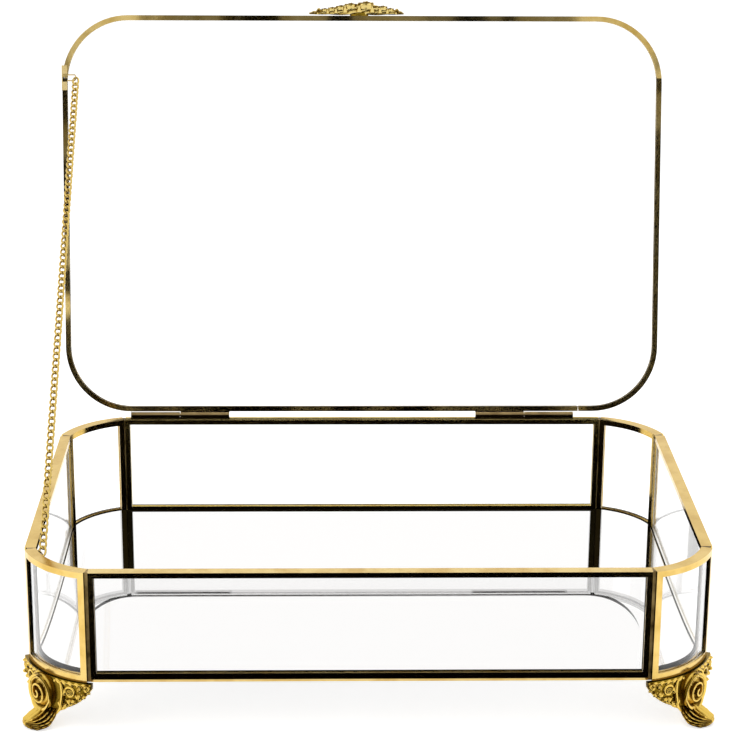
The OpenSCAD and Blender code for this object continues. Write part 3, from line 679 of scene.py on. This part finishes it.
def wing():
    """Half of the relief: beads, stems and scrolls on the apron, from the rose outwards."""
    run = np.linspace(4.0, apron_reach - 0.4, 48)
    lower = np.stack((run, apron_edge(run) - 0.9, -0.9 + 0 * run), -1)
    upper = np.stack((run, 1.3 + 0.4 * np.sin(1.9 * run), 0.1 + 0.3 * np.cos(1.9 * run)), -1)
    parts = [bead(upper, (0.9, 0.9, 0.8), flat=1.0), bead(lower, (0.9, 0.8, 0.7, 0.5), flat=1.0)]
    # The stem that rises beside the rose, and the shorter one that crosses it.
    parts.append(bead(through([(5.4, 1.0, 0.0), (8.2, 2.2, 0.9), (9.2, 5.4, 1.4), (9.0, 9.4, 1.6),
                               (8.0, 13.4, 1.6), (6.0, 16.4, 1.6)], 40), (0.4, 0.75, 0.8, 0.5)))
    parts.append(bead(through([(7.2, 14.8, 1.0), (9.8, 12.9, 1.1), (12.4, 11.3, 0.8)], 24),
                      (0.4, 0.9, 0.3)))
    # The large scroll and the one that curls at the wing's tip, with a flower in each.
    parts.append(bead(scroll((13.0, 5.3), 3.1, 1.2, 1.1, 150, 0.3, 1.4), (0.75, 0.7, 0.45)))
    parts.append(bead(scroll((21.0, 2.6), 2.0, 0.5, 1.2, 60, 0.2, 1.2), (0.7, 0.55, 0.4)))
    for centre, size in (((13.0, 5.3, 0.2), 1.7), ((21.0, 2.6, 0.4), 0.8)):
        parts += shifted(rose(size, size * 0.9), centre)
    # Pearls that fill the ground between them.
    for around, below, size in ((10.6, 2.0, 1.0), (13.6, 1.7, 1.0), (16.3, 2.0, 1.1),
                                (17.6, 4.4, 1.3), (16.4, 6.9, 1.1), (10.6, 9.0, 1.1),
                                (13.2, 9.2, 1.1), (10.4, 11.6, 1.0), (18.6, 1.9, 1.0)):
        parts.append(pearl((around, below, -1.2), 2.2, size, (1, 0, 0)))
    # Leaf lobes that stand out along the lower edge.
    for around, size in ((8.3, 1.4), (10.9, 0.9), (12.8, 1.3), (15.2, 0.8), (17.0, 1.3),
                         (19.1, 0.8), (20.8, 1.1)):
        low = apron_edge(around) - 0.5
        parts.append(bead(through([(around - 1.4 * size, low - 2.9 * size, -0.6),
                                   (around - 0.3, low - 1.6 * size, 0.7 * size),
                                   (around + 0.6, low - 0.3, 0.2)], 16),
                          (0.4 * size, size, 0.9 * size, 0.4), flat=1.0, sides=14, flutes=4))
    # Leaves that lie across the wing between the flowers.
    for first, last, width in (((9.8, 3.4), (9.9, 7.6), 1.0), ((15.6, 9.4), (12.6, 8.0), 1.0),
                               ((18.4, 6.4), (19.6, 4.8), 1.1), ((16.2, 4.4), (17.4, 1.2), 0.9),
                               ((11.4, 10.2), (8.8, 11.8), 1.1), ((19.0, 1.0), (20.6, 0.6), 0.8)):
        middle = ((first[0] + last[0]) / 2 + 0.5, (first[1] + last[1]) / 2 + 0.4, 1.5)
        parts.append(bead(through([(*first, 0.0), middle, (*last, 0.2)], 16),
                          (0.3, width, 0.3), flat=0.9, sides=18, flutes=4))
    return parts


def leg():
    """Leg and toe: a fluted leaf along a route that runs down and out, and curls up."""
    route = through([(-1.6, 11, -3.6), (-1.6, 15.2, -2.2), (-1.5, 18.4, 1.2), (-1.5, 20.6, 5.0),
                     (-2.0, 21.5, 8.8), (-2.6, 20.8, 11.6)], 60)
    return bead(route, (3.6, 5.0, 6.3, 6.6, 5.2, 0.8), flat=0.52, sides=152, flutes=17,
                side=(1, 0, 0), twist=6.0)


# The relief keeps the wash's gold, and the ground is stippled and painted darker, as painted
# shade, so that the relief stands out.
gold_wash = cast_metal("cast brass, gold washed", "#E4C05C", "#141002", reach=0.0026)
dark_ground = cast_metal("cast brass, stippled, painted dark as shade", "#7A6218", "#0E0A02",
                         reach=0.0030)
right_half = wing()
foot_parts = [apron(), leg()] + right_half + shifted(right_half, (0, 0, 0), mirror=True)
# The roses sit aside of the middle, towards the box's ends, the left ones by more.
for node, side_x, side_y, aside in (("foot_front_left", -1, -1, -3.2),
                                    ("foot_front_right", 1, -1, -1.8),
                                    ("foot_rear_left", -1, 1, -3.2),
                                    ("foot_rear_right", 1, 1, -1.8)):
    bloom = shifted(rose(rose_size, rose_rise, 1.22), (aside, rose_below, -1.2))
    foot = casting(node + "_cast", foot_parts + bloom, foot_place(side_x, side_y),
                   (gold_wash, dark_ground), 1)
    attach(foot, "base")
    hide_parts(node)


# ---------------------------------------------------------------------------------------
# Thumb ornament: a cast spray of roses and leaves on the lid's front edge, held off it by a
# stud. It is gold washed like the feet.
# ---------------------------------------------------------------------------------------
joints = {joint["name"]: joint for joint in frame["joints"]}
hinge_at = np.array(joints["lid_hinge"]["pos_m"])
open_angle = np.radians(joints["lid_hinge"]["range_deg"][1])
lid_depth, lid_gap, half_lid, spray_shift = 0.199, 0.0003, 0.002, 0.00325
lid_front = north - lid_depth
lid_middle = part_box("front_frame")[1][2] + lid_gap + half_lid


def spray_place(local):
    """World points from the spray's, in millimetres, turned with the lid about its hinge.

    They lie along the lid's edge, up through its thickness, and out from it."""
    along, up, outward = np.moveaxis(local / 1000, -1, 0)
    y, z = lid_front - outward - hinge_at[1], lid_middle + up - hinge_at[2]
    return np.stack((along - spray_shift,
                     hinge_at[1] + y * np.cos(open_angle) + z * np.sin(open_angle),
                     hinge_at[2] - y * np.sin(open_angle) + z * np.cos(open_angle)), -1)


def spray():
    """A bowed bar with a stud, and on it roses that shrink towards leaves at both ends."""
    at = (-23.5, -20.4, -15.6, -12.1, -7.6, -2.8, 0, 4.7, 9.1, 12.3, 16.1, 19.5, 23.5)
    tops = (1.6, 2.2, 3.2, 3.7, 4.6, 5.6, 5.2, 6.3, 4.8, 4.4, 3.5, 2.6, 1.6)
    run = np.linspace(at[0], at[-1], 90)
    half_high = (np.interp(run, at, tops) - 0.8) / 2
    mound = np.stack((run, 0 * run, 0.8 + half_high), -1)
    stud = np.array([(1.4, 0, -0.1), (1.4, 0, 0.8), (1.4, 0, 1.6)], float)
    made = [bead(stud, (4.6, 4.6, 4.4), flat=0.42, sides=24, side=(1, 0, 0)),
            bead(mound, half_high, flat=1.0, sides=48, flutes=6, side=(0, 1.25, 0), twist=30.0)]
    for along, size, top in ((-2.8, 3.1, 6.4), (4.7, 3.9, 7.2), (-7.7, 2.5, 5.3), (9.6, 2.3, 5.1),
                             (-12.1, 2.1, 4.4), (13.1, 2.4, 5.1), (-15.8, 1.7, 3.8),
                             (16.8, 1.9, 4.0)):
        made += shifted(rose(size, size), (along, 0, top - size))
    for along in (-19.4, -14.3, -10.2, -5.6, 1.4, 7.8, 11.7, 15.4, 19.8):
        top = float(np.interp(along, at, tops))
        for across in (-1, 1):
            made.append(pearl((along, across * 0.36 * top, 0.3 * top), 0.6 * top, 0.27 * top,
                              (0, 1, 0)))
    for from_, to, rise, width in ((-17.0, -20.4, 3.4, 1.2), (-18.5, -23.7, 2.0, 1.0),
                                   (18.7, 21.6, 3.2, 1.2), (20.0, 23.7, 2.0, 1.0)):
        for across in (-1.1, 1.1):
            made.append(bead(through([(from_, across * 0.4, 1.2),
                                      ((from_ + to) / 2, across * 1.2, rise * 0.95),
                                      (to, across * 1.4, rise * 0.45)], 18),
                             (0.5, width, 0.25), flat=0.6, sides=14, flutes=5,
                             side=(0, 1, 0)))
    return made


# Thumbs have rubbed the spray, so that it is paler than the feet; painted shade darkens it only
# in fine lines.
spray_gold = cast_metal("cast brass, gold washed and rubbed", "#E4CC80", "#2A1E08",
                        reach=0.0016)
spray_cast = casting("thumb_ornament_cast", spray(), spray_place, (spray_gold, dark_ground), 1)
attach(spray_cast, "lid")
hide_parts("thumb_ornament")


# ---------------------------------------------------------------------------------------
# Stay chain: a curb chain of round brass wire, its links twisted so that they lie flat. Its
# five stretches fold as the lid shuts.
# ---------------------------------------------------------------------------------------
chain_low = np.array(joints["chain_drop_swing"]["pos_m"])
chain_high = np.array(joints["lid_drop_swing"]["pos_m"])
stretches = {"chain_box_drop": 16, "chain_floor_run": 22, "chain_turn": 4,
             "chain_upper_run": 22, "chain_lid_drop": 13}
link_total, end_reach = sum(stretches.values()), 0.00055
wire, half_wide = 0.00051, 0.00135


def curb_link(middle, along, across, facing, half_long, lean, twist):
    """A ring of wire: half_long * sin(t) along the chain, half_wide * cos(t) across it.

    What is across turns about the chain by lean + twist * sin(t)."""
    t = np.linspace(0, 2 * np.pi, 20, endpoint=False)
    turn = lean + twist * np.sin(t)
    route = (middle + half_long * np.sin(t)[:, None] * along
             + half_wide * (np.cos(t) * np.cos(turn))[:, None] * across
             + half_wide * (np.cos(t) * np.sin(turn))[:, None] * facing)
    ahead = np.roll(route, -1, 0) - np.roll(route, 1, 0)
    ahead /= np.linalg.norm(ahead, axis=1, keepdims=True)
    outward = route - middle
    outward -= (outward * ahead).sum(1, keepdims=True) * ahead
    outward /= np.linalg.norm(outward, axis=1, keepdims=True)
    beside = np.cross(ahead, outward)
    s = np.linspace(0, 2 * np.pi, 8, endpoint=False)
    return tube(route[:, None] + wire * (np.cos(s)[None, :, None] * outward[:, None]
                                         + np.sin(s)[None, :, None] * beside[:, None]),
                endless=True)


# The wire is bright where it bows outwards, and painted dark as shade where the links meet.
chain_gold = cast_metal("brass wire, gold washed", "#D8BA68", "#100A02", reach=0.0024)
chain_run = chain_high - chain_low
chain_length = np.linalg.norm(chain_run)
chain_along = chain_run / chain_length
chain_across = np.cross(chain_along, (0, 0, 1.0))
chain_across /= np.linalg.norm(chain_across)
chain_facing = np.cross(chain_across, chain_along)
link_pitch = (chain_length - 2 * end_reach) / link_total
leans = np.radians(np.random.default_rng(4).uniform(-7, 7, link_total)
                   + 6 * (-1) ** np.arange(link_total))
twists = np.full(link_total, np.radians(38.0))
# The links on the two staples are left flat, so that they can swing there.
leans[[0, -1]] = twists[[0, -1]] = 0.0
half_long = np.full(link_total, link_pitch / 2 + wire * 1.1)
half_long[[0, -1]] = link_pitch / 2 + end_reach + 0.0001
first = 0
for node, count in stretches.items():
    parts = [curb_link(chain_low + (end_reach + (i + 0.5) * link_pitch) * chain_along,
                       chain_along, chain_across, chain_facing, half_long[i], leans[i],
                       twists[i])
             for i in range(first, first + count)]
    first += count
    run = casting(node + "_curb", parts, lambda points: points, [chain_gold])
    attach(run, node)
    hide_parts(node)
